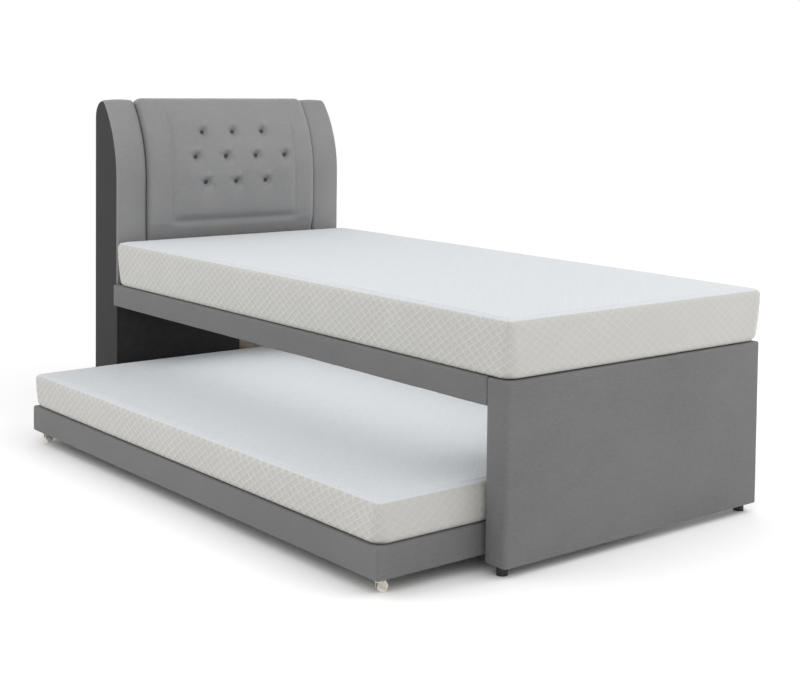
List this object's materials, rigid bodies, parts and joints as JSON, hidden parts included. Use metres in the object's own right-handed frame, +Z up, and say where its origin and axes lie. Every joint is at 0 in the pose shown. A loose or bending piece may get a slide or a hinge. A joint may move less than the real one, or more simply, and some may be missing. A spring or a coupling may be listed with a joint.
{
  "type": "trundle bed",
  "caption": "Upholstered single bed with a tufted headboard, a panel footboard and two mattresses; the lower bed rolls out sideways on small casters.",
  "frame": {"origin": "on the floor, at the middle of the whole footprint with the trundle partly pulled out", "axes": "+Z up, +Y towards the headboard, -X towards the side the trundle pulls out of"},
  "size_m": [1.2, 2.075, 1.065],
  "materials": {
    "upholstery": "woven",
    "side_upholstery": "woven",
    "lining": "matt non-woven",
    "knit": "quilted knit",
    "foam": "open foam",
    "timber": "sawn",
    "plywood": "sanded",
    "button": "covered button",
    "zinc": "plated",
    "steel": "plated",
    "caster_plastic": "moulded",
    "glide_plastic": "moulded"
  },
  "bodies": {
    "bed": {"hb_uprights": "timber", "hb_ribs": "plywood", "hb_top_rail": "timber", "hb_mid_rail": "timber", "hb_bottom_rail": "timber", "hb_strut": "timber", "hb_back_panel": "side_upholstery", "hb_side_near": "side_upholstery", "hb_side_far": "side_upholstery", "hb_wing_near": "upholstery", "hb_wing_far": "upholstery", "hb_pad": "upholstery", "hb_buttons": "button", "hb_lining_near": "lining", "hb_lining_far": "lining", "rail_near": "timber", "rail_far": "timber", "rail_cover_near": "upholstery", "rail_cover_far": "upholstery", "cross_rails": "timber", "centre_beam": "timber", "bed_slats": "plywood", "bed_deck": "plywood", "bed_lining": "lining", "bed_bolts": "steel", "fb_posts": "timber", "fb_top_rail": "timber", "fb_bottom_rail": "timber", "fb_outer_panel": "plywood", "fb_inner_panel": "upholstery", "fb_cover": "upholstery", "glides": "glide_plastic", "mattress_core": "foam", "mattress_border": "knit", "mattress_panels": "knit"},
    "trundle": {"tr_rail_near": "timber", "tr_rail_far": "timber", "tr_end_rails": "timber", "tr_blocks": "timber", "tr_cover_near": "upholstery", "tr_cover_far": "upholstery", "tr_cover_ends": "upholstery", "tr_slats": "plywood", "tr_deck": "plywood", "tr_lining": "lining", "tr_mattress_core": "foam", "tr_mattress_border": "knit", "tr_mattress_panels": "knit", "caster_plates": "zinc", "caster_screws": "zinc"},
    "caster_near_foot": {"fork_near_foot": "zinc"},
    "roller_near_foot": {"wheel_near_foot": "caster_plastic"},
    "caster_near_head": {"fork_near_head": "zinc"},
    "roller_near_head": {"wheel_near_head": "caster_plastic"},
    "caster_far_foot": {"fork_far_foot": "zinc"},
    "roller_far_foot": {"wheel_far_foot": "caster_plastic"},
    "caster_far_head": {"fork_far_head": "zinc"},
    "roller_far_head": {"wheel_far_head": "caster_plastic"}
  },
  "joints": [
    {"name": "trundle_slide", "type": "slide", "parent": "bed", "child": "trundle", "axis": [-1, 0, 0], "range_m": [-0.295, 0.57]},
    {"name": "swivel_near_foot", "type": "hinge", "parent": "trundle", "child": "caster_near_foot", "pos_m": [-0.57, -0.9205, 0.0282], "axis": [0, 0, 1], "continuous": true},
    {"name": "swivel_near_head", "type": "hinge", "parent": "trundle", "child": "caster_near_head", "pos_m": [-0.57, 0.7995, 0.0282], "axis": [0, 0, 1], "continuous": true},
    {"name": "swivel_far_foot", "type": "hinge", "parent": "trundle", "child": "caster_far_foot", "pos_m": [0.22, -0.9205, 0.0282], "axis": [0, 0, 1], "continuous": true},
    {"name": "swivel_far_head", "type": "hinge", "parent": "trundle", "child": "caster_far_head", "pos_m": [0.22, 0.7995, 0.0282], "axis": [0, 0, 1], "continuous": true},
    {"name": "roll_near_foot", "type": "hinge", "parent": "caster_near_foot", "child": "roller_near_foot", "pos_m": [-0.561, -0.9205, 0.0125], "axis": [0, 1, 0], "continuous": true},
    {"name": "roll_near_head", "type": "hinge", "parent": "caster_near_head", "child": "roller_near_head", "pos_m": [-0.561, 0.7995, 0.0125], "axis": [0, 1, 0], "continuous": true},
    {"name": "roll_far_foot", "type": "hinge", "parent": "caster_far_foot", "child": "roller_far_foot", "pos_m": [0.229, -0.9205, 0.0125], "axis": [0, 1, 0], "continuous": true},
    {"name": "roll_far_head", "type": "hinge", "parent": "caster_far_head", "child": "roller_far_head", "pos_m": [0.229, 0.7995, 0.0125], "axis": [0, 1, 0], "continuous": true}
  ]
}
